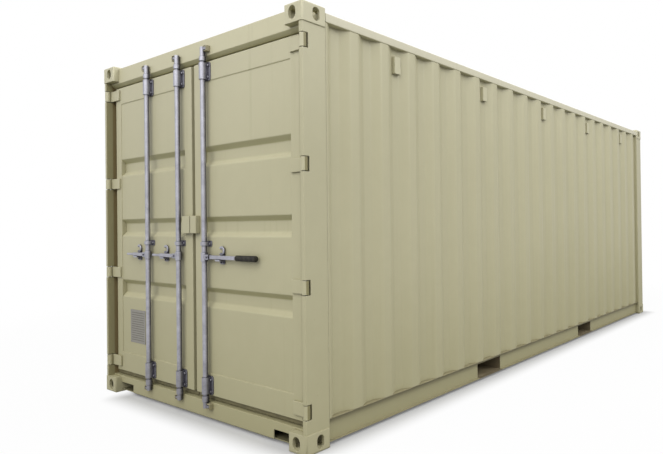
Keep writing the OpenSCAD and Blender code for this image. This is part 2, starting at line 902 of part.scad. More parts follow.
// Bracket that carries a bar: base plate on the leaf and a collar around the bar
module bar_bracket(x, z, half, h, corner, seat) {
    collar_r = bar_r + collar_wall;
    collar_z = z + collar_margin;
    collar_h = h - 2 * collar_margin;
    difference() {
        union() {
            translate([x - half, at(seat), z])
                rotate([90, 0, 0])
                    linear_extrude(bracket_t)
                        round_rect(2 * half, h, corner);
            block(x - collar_r, x + collar_r, bar_setback, seat, collar_z, collar_z + collar_h);
            translate([x, at(bar_setback), collar_z])
                cylinder(r = collar_r, h = collar_h);
        }
        translate([x, at(bar_setback), z - CUT])
            cylinder(r = bar_r + bar_fit, h = h + 2 * CUT);
    }
}

// The three brackets of one bar; a bar clear of the stiles has its middle one on the panel
module bar_brackets(x) {
    mid_seat = abs(x) - mid_bracket_half_w < panel_x0 ? leaf_setback : panel_face;
    bar_bracket(x, leaf_z + bracket_end, bracket_half_w, bracket_h, bracket_end_round, leaf_setback);
    bar_bracket(x, mid_bracket_z, mid_bracket_half_w, mid_bracket_h, bracket_round, mid_seat);
    bar_bracket(x, leaf_top - bracket_end - bracket_h, bracket_half_w, bracket_h, bracket_end_round,
        leaf_setback);
}

module left_bar_brackets() {
    color(ZINC)
        for (i = [0, 1])
            bar_brackets(bar_places[i]);
}

module right_bar_brackets() {
    color(ZINC)
        bar_brackets(bar_places[2]);
}

// Catch on the panel: a backing plate, a ledge that the handle rests on and a curled hook above
module handle_catch(i) {
    x = bar_places[i] + catch_reach[i];
    plate_front = panel_face - bracket_t;
    low_z = handle_z - catch_below;
    ledge_top = handle_z - flat_h / 2 - ledge_gap;
    hook_z = handle_z + catch_above - hook_r - hook_w / 2;
    color(ZINC) {
        translate([x - catch_w / 2, at(panel_face), low_z])
            rotate([90, 0, 0])
                linear_extrude(bracket_t)
                    round_rect(catch_w, hook_z - hook_r / 2 - low_z, bracket_round);
        block(x - catch_w / 2, x + catch_w / 2, ledge_setback, plate_front + CUT,
            ledge_top - ledge_t, ledge_top);
        translate([x, at(plate_front + CUT), hook_z])
            rotate([90, 0, 0])
                rotate([0, 0, -HOOK_TURN / 2])
                    rotate_extrude(angle = HOOK_TURN)
                        translate([hook_r - hook_w / 2, 0])
                            round_rect(hook_w, hook_t, hook_round);
    }
}

module left_handle_catches() {
    for (i = [0, 1])
        handle_catch(i);
}

module right_handle_catches() {
    handle_catch(2);
}

// Half of the lock box over the gap between the leaves, open at the bottom
module lock_half(reach) {
    back0 = leaf_setback - lock_depth;
    color(PAINT)
        difference() {
            block(seal_middle_gap / 2, reach, back0, leaf_setback, lock_z, lock_z + lock_h);
            block(0, reach - lock_wall, back0 + lock_wall, leaf_setback + CUT,
                lock_z - CUT, lock_z + lock_h - lock_wall);
        }
}

module right_lock_plate() {
    lock_half(lock_right);
}

module left_lock_plate() {
    mirror([1, 0, 0])
        lock_half(lock_left);
}

// Plain data plate on the left leaf
module data_plate() {
    x0 = plate_edge - panel_x1;
    color(ALUMINIUM)
        block(x0, x0 + plate_w, panel_face - plate_t, panel_face, plate_z, plate_z + plate_h);
}

// Lock bar with a cam and its boss at each end, and a hub with a forked pivot for its handle
module lock_bar(i) {
    side = handle_reach[i] < 0 ? 1 : 0;
    cheek_in = tongue_t / 2 + pivot_fit;
    color(ZINC)
        translate([bar_places[i], at(bar_setback), 0]) {
            translate([0, 0, bar_z])
                cylinder(r = bar_r, h = bar_top - bar_z);
            translate([0, 0, handle_z - hub_h / 2])
                cylinder(r = hub_r, h = hub_h);
            for (ends = boss_ends)
                translate([0, 0, ends[0]])
                    cylinder(r = boss_r, h = ends[1] - ends[0]);
            mirror([side, 0, 0]) {
                for (z = cam_zs)
                    translate([0, -cam_t / 2, z])
                        cube([cam_reach, cam_t, cam_h]);
                for (y = [-cheek_in - cheek_t, cheek_in])
                    translate([0, y, handle_z - eye_r])
                        cube([pivot_reach + eye_r, cheek_t, 2 * eye_r]);
                translate([pivot_reach, -cheek_in - cheek_t, handle_z])
                    rotate([-90, 0, 0])
                        cylinder(r = pivot_r, h = 2 * (cheek_in + cheek_t));
            }
        }
}

module left_outer_bar() {
    lock_bar(0);
}

module left_inner_bar() {
    lock_bar(1);
}

module right_bar() {
    lock_bar(2);
}

// Handle: a bored eye and tongue in the bar's fork, a flat bar, then a round rod with a domed end
module handle(i) {
    side = handle_reach[i] < 0 ? 1 : 0;
    rod_x = pivot_reach + tongue_l - rod_lap;
    tip = abs(handle_reach[i]) - rod_r;
    gripped = i == len(handle_reach) - 1;
    flat_end = gripped ? tip - grip_l - flat_gap : abs(catch_reach[i]) + flat_past;
    color(ZINC)
        translate([bar_places[i], at(bar_setback), handle_z])
            mirror([side, 0, 0]) {
                difference() {
                    union() {
                        translate([pivot_reach, tongue_t / 2, 0])
                            rotate([90, 0, 0])
                                cylinder(r = eye_r, h = tongue_t);
                        translate([pivot_reach, -tongue_t / 2, -rod_r])
                            cube([tongue_l, tongue_t, 2 * rod_r]);
                    }
                    translate([pivot_reach, tongue_t / 2 + CUT, 0])
                        rotate([90, 0, 0])
                            cylinder(r = pivot_r + pivot_fit, h = tongue_t + 2 * CUT);
                }
                translate([rod_x, -rod_r, -flat_h / 2])
                    rotate([90, 0, 90])
                        linear_extrude(flat_end - rod_x)
                            round_rect(2 * rod_r, flat_h, flat_round);
                translate([rod_x, 0, 0])
                    rotate([0, 90, 0])
                        cylinder(r = rod_r, h = tip - rod_x);
                translate([tip, 0, 0])
                    sphere(rod_r);
            }
}

module left_outer_handle() {
    handle(0);
}

module left_inner_handle() {
    handle(1);
}

module right_handle() {
    handle(2);
}

// Rubber sleeve over the end of the long handle, closed over its tip
module right_handle_grip() {
    tip = abs(handle_reach[2]) - rod_r;
    color(RUBBER)
        translate([bar_places[2], at(bar_setback), handle_z])
            difference() {
                translate([tip - grip_l, 0, 0])
                    rotate([0, 90, 0])
                        cylinder(r = rod_r + grip_wall, h = grip_l + rod_r + grip_wall);
                translate([tip - grip_l - CUT, 0, 0])
                    rotate([0, 90, 0])
                        cylinder(r = rod_r, h = grip_l + CUT);
                translate([tip, 0, 0])
                    sphere(rod_r);
            }
}

bottom_castings_left();
bottom_castings_right();
top_castings_left();
top_castings_right();
rear_post_left();
rear_post_right();
front_posts();
top_rails();
bottom_rails();
door_header();
door_sill();
front_header();
front_sill();
side_wall_left();
side_wall_right();
front_wall();
roof();
floor_deck();  // floor
cross_members();
fork_pockets();
vents();
hinge_pins();
cam_keepers();
left_door_frame();
left_door_panel();
left_door_seal();
left_door_hinges();
left_bar_brackets();
left_handle_catches();
left_lock_plate();
data_plate();
right_door_frame();
right_door_panel();
right_door_seal();
right_door_hinges();
right_bar_brackets();
right_handle_catches();
right_lock_plate();
left_outer_bar();
left_inner_bar();
right_bar();
left_outer_handle();
left_inner_handle();
right_handle();
right_handle_grip();
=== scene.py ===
import math

import bmesh
import bpy
from mathutils import Matrix, Vector


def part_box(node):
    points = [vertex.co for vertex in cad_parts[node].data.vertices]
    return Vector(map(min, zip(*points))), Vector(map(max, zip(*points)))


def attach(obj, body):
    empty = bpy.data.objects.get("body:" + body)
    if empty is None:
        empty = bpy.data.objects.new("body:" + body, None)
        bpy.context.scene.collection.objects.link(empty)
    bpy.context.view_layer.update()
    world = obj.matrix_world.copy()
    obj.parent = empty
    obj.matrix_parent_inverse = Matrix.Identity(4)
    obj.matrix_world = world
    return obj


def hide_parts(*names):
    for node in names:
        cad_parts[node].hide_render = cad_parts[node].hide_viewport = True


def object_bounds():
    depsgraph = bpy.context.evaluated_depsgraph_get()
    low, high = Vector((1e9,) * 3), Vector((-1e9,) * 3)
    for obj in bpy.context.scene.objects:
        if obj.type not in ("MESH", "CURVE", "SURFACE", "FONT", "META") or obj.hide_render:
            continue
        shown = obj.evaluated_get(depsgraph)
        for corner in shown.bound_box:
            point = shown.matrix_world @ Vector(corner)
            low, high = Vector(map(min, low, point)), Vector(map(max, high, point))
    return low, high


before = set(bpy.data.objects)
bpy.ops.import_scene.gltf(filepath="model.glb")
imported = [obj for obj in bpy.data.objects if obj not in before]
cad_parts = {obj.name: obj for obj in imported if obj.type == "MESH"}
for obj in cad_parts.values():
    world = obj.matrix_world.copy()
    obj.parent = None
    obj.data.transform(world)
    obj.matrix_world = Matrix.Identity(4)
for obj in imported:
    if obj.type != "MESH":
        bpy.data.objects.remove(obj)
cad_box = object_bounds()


# Camera: stands about head high, off the right corner of the door end. The picture is a
# crop to the left of the lens axis, so the view is shifted by the crop's share of its width.
IMAGE_WIDTH = 663
FOCAL_PX, AXIS_RIGHT_PX, AXIS_UP_PX = 570.03, 129.84, 8.14
SENSOR_MM = 36.0
yaw, pitch, roll = 0.6109, 0.0069, -0.0128
ahead = Vector((-math.sin(yaw) * math.cos(pitch), math.cos(yaw) * math.cos(pitch), math.sin(pitch)))
level = Vector((math.cos(yaw), math.sin(yaw), 0.0))
upward = level.cross(ahead)
right = level * math.cos(roll) + upward * math.sin(roll)
top = upward * math.cos(roll) - level * math.sin(roll)
bpy.ops.object.camera_add(location=(3.7859, -5.1512, 1.3107))
camera = bpy.context.active_object
camera.rotation_euler = Matrix((right, top, -ahead)).transposed().to_euler()
camera.data.sensor_width = SENSOR_MM
camera.data.lens = FOCAL_PX / IMAGE_WIDTH * SENSOR_MM
camera.data.shift_x = -AXIS_RIGHT_PX / IMAGE_WIDTH
camera.data.shift_y = -AXIS_UP_PX / IMAGE_WIDTH
bpy.context.scene.camera = camera


# Studio: a pale floor under soft light from all round, brighter from above. The camera and
# mirror rays see floor and surroundings as white, apart from a band round the container's foot
# that keeps its shadow; other light meets a duller floor.
class Flow:
    """A socket in a node tree; sums and products of flows add Math nodes."""

    def __init__(self, tree, socket=None):
        self.tree, self.socket = tree, socket

    def node(self, kind, settings=None, sockets=None, out=0):
        made = self.tree.nodes.new("ShaderNode" + kind)
        for name, value in (settings or {}).items():
            setattr(made, name, value)
        for name, value in (sockets or {}).items():
            if isinstance(value, Flow):
                self.tree.links.new(value.socket, made.inputs[name])
            else:
                made.inputs[name].default_value = value
        return Flow(self.tree, made.outputs[out] if made.outputs else None)

    def math(self, operation, first, second):
        return self.node("Math", {"operation": operation}, {0: first, 1: second})

    def __add__(self, other):
        return self.math("ADD", self, other)

    def __sub__(self, other):
        return self.math("SUBTRACT", self, other)

    def __rsub__(self, other):
        return self.math("SUBTRACT", other, self)

    def __mul__(self, other):
        return self.math("MULTIPLY", self, other)

    __radd__ = __add__
    __rmul__ = __mul__


def blended(share, first, second):
    """Colour that goes from first to second as share goes from 0 to 1."""
    colours = {slot: (*c, 1.0) if isinstance(c, tuple) else c for slot, c in ((6, first), (7, second))}
    return share.node("Mix", {"data_type": "RGBA"}, {0: share, **colours}, out=2)


def banded(value, low, high):
    """0 below low and 1 above high, with a smooth rise between; low may be the higher one."""
    return value.node("MapRange", {"interpolation_type": "SMOOTHSTEP"}, {0: value, 1: low, 2: high})


def seen_directly(flow):
    """1 for camera, mirror and see-through rays, 0 for the light that falls on things."""
    seen = [flow.node("LightPath", out=place) for place in (0, 3, 6)]
    return flow.math("MINIMUM", seen[0] + seen[1] + seen[2], 1.0)


def new_finish(name):
    """Empty material and the flow that starts its nodes."""
    finish = bpy.data.materials.new(name)
    finish.use_nodes = True
    finish.node_tree.nodes.clear()
    return finish, Flow(finish.node_tree)


FLOOR_SIDE = 90.0
FLOOR_SEEN, FLOOR_UNSEEN = (0.48, 0.48, 0.48), (0.30, 0.30, 0.30)
LEFT_START = 0.35
SHADOW_BAND, SHADOW_SHARE = (-0.06, 0.20), 0.97
FAR_WHITE, FAR_SHARE = (4.5, 7.5), 0.03
bpy.ops.object.select_all(action="DESELECT")
bpy.ops.mesh.primitive_plane_add(size=FLOOR_SIDE, location=(0, 0, 0))
studio_floor = bpy.context.active_object
studio_floor.name = "studio_floor"
floor_finish, start = new_finish("studio_floor_white")
seen = seen_directly(start)
floor_place = start.node("TexCoord", out=3)
from_middle = start.node("VectorMath", {"operation": "LENGTH"}, {0: floor_place}, out=1)
floor_x, floor_y = (start.node("SeparateXYZ", {}, {0: floor_place}, out=axis) for axis in (0, 1))
off_side = start.math("MAXIMUM", floor_x - cad_box[1][0], cad_box[0][0] + LEFT_START - floor_x)
off_side = start.math("MAXIMUM", off_side, 0.0)
off_end = start.math("MAXIMUM", start.math("ABSOLUTE", floor_y, 0.0) - cad_box[1][1], 0.0)
from_foot = start.math("SQRT", off_side * off_side + off_end * off_end, 0.0)
glow = SHADOW_SHARE * banded(from_foot, *SHADOW_BAND) + FAR_SHARE * banded(from_middle, *FAR_WHITE)
pale = start.node("BsdfDiffuse", {}, {"Color": blended(seen, FLOOR_UNSEEN, FLOOR_SEEN)})
white = start.node("Emission", {}, {"Color": (1, 1, 1, 1), "Strength": 1.0})
floor_shade = start.node("MixShader", {}, {0: seen * glow, 1: pale, 2: white})
start.node("OutputMaterial", {}, {"Surface": floor_shade})
studio_floor.data.materials.append(floor_finish)

world = bpy.data.worlds.new("studio_surroundings")
bpy.context.scene.world = world
world.use_nodes = True
world.node_tree.nodes.clear()
sky = Flow(world.node_tree)
FILL_STRENGTH = 0.55
sky_strength = FILL_STRENGTH + (1 - FILL_STRENGTH) * seen_directly(sky)
surroundings = sky.node("Background", {}, {"Color": (1, 1, 1, 1), "Strength": sky_strength})
sky.node("OutputWorld", {}, {"Surface": surroundings})

for name, place, aim, size, power in (
    ("overhead_light", (0.5, -1.0, 10.0), (0.0, -0.5, 0.0), 9.0, 520.0),
    ("side_light", (9.5, 1.5, 8.0), (1.2, 0.2, 1.3), 7.0, 620.0),
    ("door_light", (0.5, -11.0, 8.0), (0.0, -3.0, 1.3), 9.0, 690.0),
    ("corner_light", (7.0, -9.0, 7.5), (1.2, -2.6, 1.3), 7.0, 330.0),
):
    bpy.ops.object.light_add(type="AREA", location=place)
    lamp = bpy.context.active_object
    lamp.name = name
    lamp.rotation_euler = (Vector(aim) - Vector(place)).to_track_quat("-Z", "Y").to_euler()
    lamp.data.size = size
    lamp.data.energy = power
bpy.context.scene.view_settings.view_transform = "Standard"


# Corner castings: eight hollow blocks of cast steel that carry the lifting and stacking loads,
# sand cast, then painted with the rest; posts and rails are welded to them.
KHAKI = (0.405, 0.381, 0.245)
# Dust low down, which also serves as painted shade towards the bottom.
DUST_AND_SHADE = (0.315, 0.29, 0.155)
# Grime for the rain streaks, which also serves as painted shade in corners and recesses.
GRIME_AND_SHADE = (0.16, 0.14, 0.065)
# Painted shade for faces that look down; its share is set below.
UNDERSIDE_SHADE = (0.24, 0.225, 0.05)
# Rubbed paint on edges, which also serves as a painted highlight along them.
RUBBED_AND_HIGHLIGHT = (0.60, 0.57, 0.44)
# Chalky tone high up, which also serves as painted light from above.
CHALK_AND_TOP_LIGHT = (0.58, 0.555, 0.43)
RUST = (0.14, 0.055, 0.02)
UNDERSIDE_SHADE_SHARE = 0.42
MERGE_WITHIN = 0.00005
FLAT_WITHIN, SMOOTH_BELOW = math.radians(0.5), math.radians(50)


def shaded(colour, share):
    """The same hue, lighter or darker."""
    return tuple(min(1.0, share * channel) for channel in colour)


def edge_mask(flow, radius, low, high):
    """Normal softened over edges, and a mask that is 1 along them."""
    softened = flow.node("Bevel", {"samples": 6}, {"Radius": radius})
    plain = flow.node("NewGeometry", out=1)
    same = flow.node("VectorMath", {"operation": "DOT_PRODUCT"}, {0: softened, 1: plain}, out=1)
    return softened, banded(1 - same, low, high)


def close_finish(flow, **sockets):
    """Ends a material in a Principled shader with these sockets."""
    shader = flow.node("BsdfPrincipled", {}, {name.replace("_", " "): v for name, v in sockets.items()})
    flow.node("OutputMaterial", {}, {"Surface": shader})


def paint_finish(name, coat, low_dust_and_shade, streaking, wear_and_highlight, peel, peel_scale, chalk_and_top_light=0.2, hollow=0.35,
                 dirt_and_shade=None):
    """Sprayed coat of paint: clouded, lighter towards the top, chalking together with painted light
    from above, darker towards the bottom, dust together with painted shade, with painted shade where
    it faces down and in hollows, rain streaks, rubbed edges that double as painted highlights, and
    chips; the last argument, given the flow, the place and a mottle, returns a last mask and its
    colour, for stains and for painted shade."""
    finish, flow = new_finish(name)
    place = flow.node("TexCoord", out=3)
    height = flow.node("SeparateXYZ", {}, {0: place}, out=2)
    clouds = flow.node("TexNoise", {}, {"Vector": place, "Scale": 0.8, "Detail": 4.0})
    mottle = flow.node("TexNoise", {}, {"Vector": place, "Scale": 9.0, "Detail": 5.0, "Roughness": 0.62})
    grain = flow.node("TexNoise", {}, {"Vector": place, "Scale": peel_scale, "Detail": 2.0})
    drawn = flow.node("Mapping", {}, {"Vector": place, "Scale": (16.0, 16.0, 0.55)})
    streaks = flow.node("TexNoise", {}, {"Vector": drawn, "Scale": 1.0, "Detail": 5.0, "Roughness": 0.6})
    softened, edge = edge_mask(flow, 0.006, 0.03, 0.22)
    open_air = flow.node("AmbientOcclusion", {"samples": 5}, {"Distance": 0.07}, out=1)
    # Painted shade: corners and recesses darkened where ambient occlusion finds them hemmed in.
    corner = banded(open_air + 0.25 * (mottle - 0.5), 0.75, 0.2)
    # Darker towards the bottom: dust, and painted shade where less light reaches low down.
    low = banded(height + 0.55 * (clouds - 0.5) + 0.12 * (mottle - 0.5), 1.5, 0.0)
    # Lighter towards the top: chalking, and painted light from above.
    high = banded(height + 0.5 * (clouds - 0.5), 1.5, 2.6)
    run = banded(streaks, 0.56, 0.78) * banded(clouds, 0.3, 0.7)
    cells = flow.node("TexVoronoi", {}, {"Vector": place, "Scale": 26.0})
    chip = banded(cells + 0.06 * (mottle - 0.5), 0.06, 0.035) * banded(clouds * mottle, 0.34, 0.38)
    colour = blended(clouds, shaded(coat, 0.95), shaded(coat, 1.05))
    colour = blended(banded(mottle, 0.35, 0.75) * 0.10, colour, shaded(coat, 1.25))
    colour = blended(high * chalk_and_top_light, colour, CHALK_AND_TOP_LIGHT)
    colour = blended(low * low_dust_and_shade, colour, DUST_AND_SHADE)
    colour = blended(run * streaking, colour, GRIME_AND_SHADE)
    colour = blended(corner * hollow, colour, GRIME_AND_SHADE)
    # Painted shade on faces that look down, darker the more they do.
    facing = flow.node("SeparateXYZ", {}, {0: flow.node("NewGeometry", out=1)}, out=2)
    colour = blended(banded(facing, -0.15, -0.6) * UNDERSIDE_SHADE_SHARE, colour, UNDERSIDE_SHADE)
    # Lighter edges: rubbed paint, and a painted highlight along the edges.
    colour = blended(edge * banded(mottle, 0.42, 0.62) * wear_and_highlight, colour, RUBBED_AND_HIGHLIGHT)
    colour = blended(chip * 0.8, colour, RUST)
    if dirt_and_shade:
        mask, dirt_and_shade_colour = dirt_and_shade(flow, place, mottle)
        colour = blended(mask, colour, dirt_and_shade_colour)
    skin = flow.node("Bump", {}, {"Strength": 0.5, "Distance": peel, "Height": grain, "Normal": softened})
    skin = flow.node("Bump", {}, {"Strength": 0.25, "Distance": 0.004, "Height": clouds - 0.15 * chip,
                                  "Normal": skin})
    close_finish(flow, Base_Color=colour, Normal=skin,
                 Roughness=0.40 + 0.12 * clouds + 0.18 * low + 0.25 * chip + 0.1 * run)
    return finish


def dress(piece, finish):
    """Gives every material slot of a piece this finish."""
    if not piece.material_slots:
        piece.data.materials.append(finish)
    for held in piece.material_slots:
        held.material = finish


def pick(piece):
    """Makes one piece the only one selected."""
    bpy.ops.object.select_all(action="DESELECT")
    piece.select_set(True)
    bpy.context.view_layer.objects.active = piece


def eased_copy(node, body, finish, offset=0.0, segments=2, bends=(25.0, 180.0),
               shortest=0.012, chosen=None):
    """Stands for a CAD node: its triangles merged into whole faces, its longer edges rounded by the
    offset. chosen, given an edge's middle and direction, may narrow the edges down."""
    piece = bpy.data.objects.new(node + "_finished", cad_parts[node].data.copy())
    bpy.context.scene.collection.objects.link(piece)
    pick(piece)
    bpy.ops.object.mode_set(mode="EDIT")
    bpy.ops.mesh.select_mode(type="EDGE")
    bpy.ops.mesh.select_all(action="SELECT")
    bpy.ops.mesh.customdata_custom_splitnormals_clear()
    bpy.ops.mesh.remove_doubles(threshold=MERGE_WITHIN)
    bpy.ops.mesh.dissolve_limited(angle_limit=FLAT_WITHIN)
    if offset:
        bpy.ops.mesh.select_all(action="DESELECT")
        shape = bmesh.from_edit_mesh(piece.data)
        for edge in shape.edges:
            first, second = (corner.co for corner in edge.verts)
            turn = math.degrees(edge.calc_face_angle(0.0))
            wanted = bends[0] < turn < bends[1] and (second - first).length > shortest
            if wanted and chosen:
                wanted = chosen((first + second) / 2, (second - first).normalized())
            edge.select_set(wanted)
        bmesh.update_edit_mesh(piece.data)
        bpy.ops.mesh.bevel(offset=offset, segments=segments, clamp_overlap=True)
    bpy.ops.object.mode_set(mode="OBJECT")
    bpy.ops.object.shade_smooth_by_angle(angle=SMOOTH_BELOW)
    bpy.ops.object.modifier_add(type="WEIGHTED_NORMAL")
    piece.modifiers[-1].keep_sharp = True
    bpy.ops.object.modifier_apply(modifier=piece.modifiers[-1].name)
    dress(piece, finish)
    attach(piece, body)
    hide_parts(node)
    return piece


casting_paint = paint_finish("casting_paint", shaded(KHAKI, 1.02), 0.4, 0.10, 0.45, 0.0012, 260.0)
for node in ("bottom_castings_left", "bottom_castings_right", "top_castings_left", "top_castings_right"):
    eased_copy(node, "frame", casting_paint)


# Posts: folded steel plate, welded between the castings. The door posts have a lip at the
# front, cut away for the hinges; the two at the blank end are plain square tubes.
def lengthwise(axis):
    """Test that passes the edges that run along this axis."""
    return lambda middle, along: abs(along[axis]) > 0.99


CORNER_X = 1.21


def outer_corner(middle, along):
    """Passes the upright edge at a post's outer corner."""
    return abs(along.z) > 0.99 and abs(middle.x) > CORNER_X


LIP_INNER_X, DEEP_Y = 1.184, -2.978
FACE_REACH, EDGE_BLUR = (0.002, 0.001), 0.004
# Painted shade in the recess beside a post's lip: lighter near the face, darker deep in.
RECESS_SHADE, RECESS_DEEP_SHADE = (0.25, 0.225, 0.115), (0.17, 0.125, 0.05)


def shaded_recess(flow, place, mottle):
    """Mask and colour of the painted shade in the recess between a post's lip and the door,
    darker deeper in."""
    aside = flow.math("ABSOLUTE", flow.node("SeparateXYZ", {}, {0: place}), 0.0)
    off_face = flow.math("ABSOLUTE", aside - LIP_INNER_X, 0.0)
    depth = flow.node("SeparateXYZ", {}, {0: place}, out=1)
    dirt_and_shade_colour = blended(banded(depth, DEEP_Y - EDGE_BLUR, DEEP_Y + EDGE_BLUR), RECESS_SHADE, RECESS_DEEP_SHADE)
    return banded(off_face, *FACE_REACH) * (0.85 + 0.15 * mottle), dirt_and_shade_colour


frame_paint = paint_finish("frame_paint", shaded(KHAKI, 0.97), 0.5, 0.12, 0.5, 0.0004, 420.0, chalk_and_top_light=0.10,
                           hollow=0.15)
# The posts' paint adds painted shade in the recess behind their lips.
post_paint = paint_finish("post_paint", shaded(KHAKI, 0.97), 0.5, 0.12, 0.5, 0.0004, 420.0, chalk_and_top_light=0.10,
                          hollow=0.15, dirt_and_shade=shaded_recess)
for node in ("rear_post_left", "rear_post_right"):
    eased_copy(node, "frame", post_paint, 0.008, segments=3, chosen=outer_corner)
eased_copy("front_posts", "frame", frame_paint, 0.006, segments=3, chosen=lengthwise(2))


# Welds at the posts: a rippled bead of filler all along the seam between each door post and
# the castings at its two ends, laid by hand and painted over.
def weld_bead(length, radius):
    """A rippled bead lying along +X from the origin."""
    pitch = 1.6 * radius
    count = max(2, round(length / pitch))
    step = length / count
    bpy.ops.object.select_all(action="DESELECT")
    bpy.ops.mesh.primitive_cylinder_add(vertices=8, radius=0.8 * radius, depth=step,
                                        end_fill_type="NOTHING", location=(step / 2, 0, 0),
                                        rotation=(0, math.pi / 2, 0))
    bead = bpy.context.active_object
    bpy.ops.object.transform_apply(location=True, rotation=True, scale=True)
    bpy.ops.object.mode_set(mode="EDIT")
    bpy.ops.mesh.select_mode(type="EDGE")
    bpy.ops.mesh.select_all(action="DESELECT")
    shape = bmesh.from_edit_mesh(bead.data)
    for edge in shape.edges:
        first, second = (corner.co for corner in edge.verts)
        edge.select_set(abs(first.x - second.x) > 0.5 * step)
    bmesh.update_edit_mesh(bead.data)
    bpy.ops.mesh.subdivide(number_cuts=1)
    bpy.ops.mesh.select_mode(type="VERT")
    bpy.ops.mesh.select_all(action="DESELECT")
    shape = bmesh.from_edit_mesh(bead.data)
    for corner in shape.verts:
        corner.select_set(abs(corner.co.x - step / 2) < 0.1 * step)
    bmesh.update_edit_mesh(bead.data)
    bpy.ops.transform.resize(value=(1.0, 1.25, 1.25))
    bpy.ops.object.mode_set(mode="OBJECT")
    bpy.ops.object.modifier_add(type="ARRAY")
    row = bead.modifiers[-1]
    row.count = count
    row.use_merge_vertices = True
    row.merge_threshold = 0.0001
    bpy.ops.object.modifier_apply(modifier=row.name)
    bpy.ops.object.mode_set(mode="EDIT")
    bpy.ops.mesh.select_all(action="SELECT")
    bpy.ops.mesh.fill_holes(sides=0)
    bpy.ops.mesh.normals_make_consistent(inside=False)
    bpy.ops.object.mode_set(mode="OBJECT")
    return bead


def laid_out(pattern, name, places, sharp=35.0):
    """One piece made of copies of a pattern, each with its own mesh, at these places and turns."""
    copies = []
    for place, turn in places:
        copy = bpy.data.objects.new(name, pattern.data.copy())
        bpy.context.scene.collection.objects.link(copy)
        copy.location, copy.rotation_euler = place, turn
        copies.append(copy)
    bpy.data.objects.remove(pattern)
    bpy.ops.object.select_all(action="DESELECT")
    for copy in copies:
        copy.select_set(True)
    piece = bpy.context.view_layer.objects.active = copies[0]
    bpy.ops.object.transform_apply(location=True, rotation=True, scale=True)
    if len(copies) > 1:
        bpy.ops.object.join()
    bpy.ops.object.shade_smooth_by_angle(angle=math.radians(sharp))
    piece.name = piece.data.name = name
    return piece


def fixed_to(piece, body, finish):
    """Dresses a new piece and fixes it to a body."""
    dress(piece, finish)
    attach(piece, body)


POST_FACE_X, POST_FRONT_Y = 1.214, -3.025
SEAMS_Z = (0.118, 2.473)
SIDEWAYS = (0.0, 0.0, math.pi / 2)
SEAM_LENGTH, SEAM_RADIUS = 0.150, 0.0032
SEAM_PROUD, SEAM_START = 0.0005, 0.012
weld_paint = paint_finish("weld_paint", shaded(KHAKI, 0.92), 0.5, 0.1, 0.3, 0.0006, 500.0)
post_seams = laid_out(weld_bead(SEAM_LENGTH, SEAM_RADIUS), "post_seam_welds", [
    ((side * (POST_FACE_X + SEAM_PROUD), POST_FRONT_Y + SEAM_START, z), SIDEWAYS)
    for side in (-1, 1) for z in SEAMS_Z])
fixed_to(post_seams, "frame", weld_paint)


# Top rails: square steel tube along both sides, in a lighter coat that paints a highlight on its
# face; the rails and the header of the blank end are welded between the upper castings.
# A lighter coat: a painted highlight on the rails' faces.
lit_rail_paint = paint_finish("lit_rail_paint", (0.50, 0.475, 0.35), 0.0, 0.12, 0.6, 0.0004, 420.0, hollow=0.0)
eased_copy("top_rails", "frame", lit_rail_paint, 0.006, segments=3, chosen=lengthwise(1))
eased_copy("front_header", "frame", lit_rail_paint, 0.004, chosen=lengthwise(0))


# Bottom rails and sills: channels along the lower edges, painted in a darker coat, partly road
# dirt that is thrown up and dries in the channel, partly painted shade for their low, overhung place.
POCKET_Y, POCKET_HALF = 1.025, 0.180
LIP_Z, UNDER_EDGE_Z, FOOT_Z = 0.045, 0.155, 0.026
UNDER_EDGE_DEEP = 0.05
# Dark wax at the fork pockets, also used for painted shade along the rails' edges.
WAX_AND_SHADE = (0.12, 0.095, 0.055)


def waxed_and_shaded_lip(flow, place, mottle):
    """Mask and colour of the wax on a rail's lower lip at the fork pockets, and of the painted
    shade under its upper flange and along its bottom edge."""
    along, height = (flow.node("SeparateXYZ", {}, {0: place}, out=axis) for axis in (1, 2))
    off_pocket = flow.math("ABSOLUTE", flow.math("ABSOLUTE", along, 0.0) - POCKET_Y, 0.0)
    at_pocket = banded(off_pocket, POCKET_HALF, POCKET_HALF - EDGE_BLUR)
    wax = at_pocket * banded(height, LIP_Z, LIP_Z - EDGE_BLUR)
    # Painted shade under the upper flange and along the bottom edge.
    under_edge = 0.55 * banded(height, UNDER_EDGE_Z - UNDER_EDGE_DEEP, UNDER_EDGE_Z)
    foot = 0.6 * banded(height, FOOT_Z, FOOT_Z - EDGE_BLUR)
    return flow.math("MAXIMUM", wax, under_edge + foot) * (0.8 + 0.2 * mottle), WAX_AND_SHADE


SILL_INNER_Y, SILL_INNER_Z = -2.977, (0.024, 0.122)
WALL_BLUR = 0.001
# Painted shade for the sill's inside, seen through its notches.
INSIDE_SHADE = (0.075, 0.065, 0.03)


def shaded_inside(flow, place, mottle):
    """Mask and colour of the painted shade on the sill's inside, seen through its notches, and along its
    bottom edge.
    """
    depth, height = (flow.node("SeparateXYZ", {}, {0: place}, out=axis) for axis in (1, 2))
    inside = banded(depth, SILL_INNER_Y - WALL_BLUR, SILL_INNER_Y + WALL_BLUR)
    for face, inwards in zip(SILL_INNER_Z, (WALL_BLUR, -WALL_BLUR)):
        inside = inside * banded(height, face - inwards, face + inwards)
    foot = 0.7 * banded(height, FOOT_Z, FOOT_Z - EDGE_BLUR)
    return flow.math("MAXIMUM", inside, foot) * (0.85 + 0.15 * mottle), INSIDE_SHADE


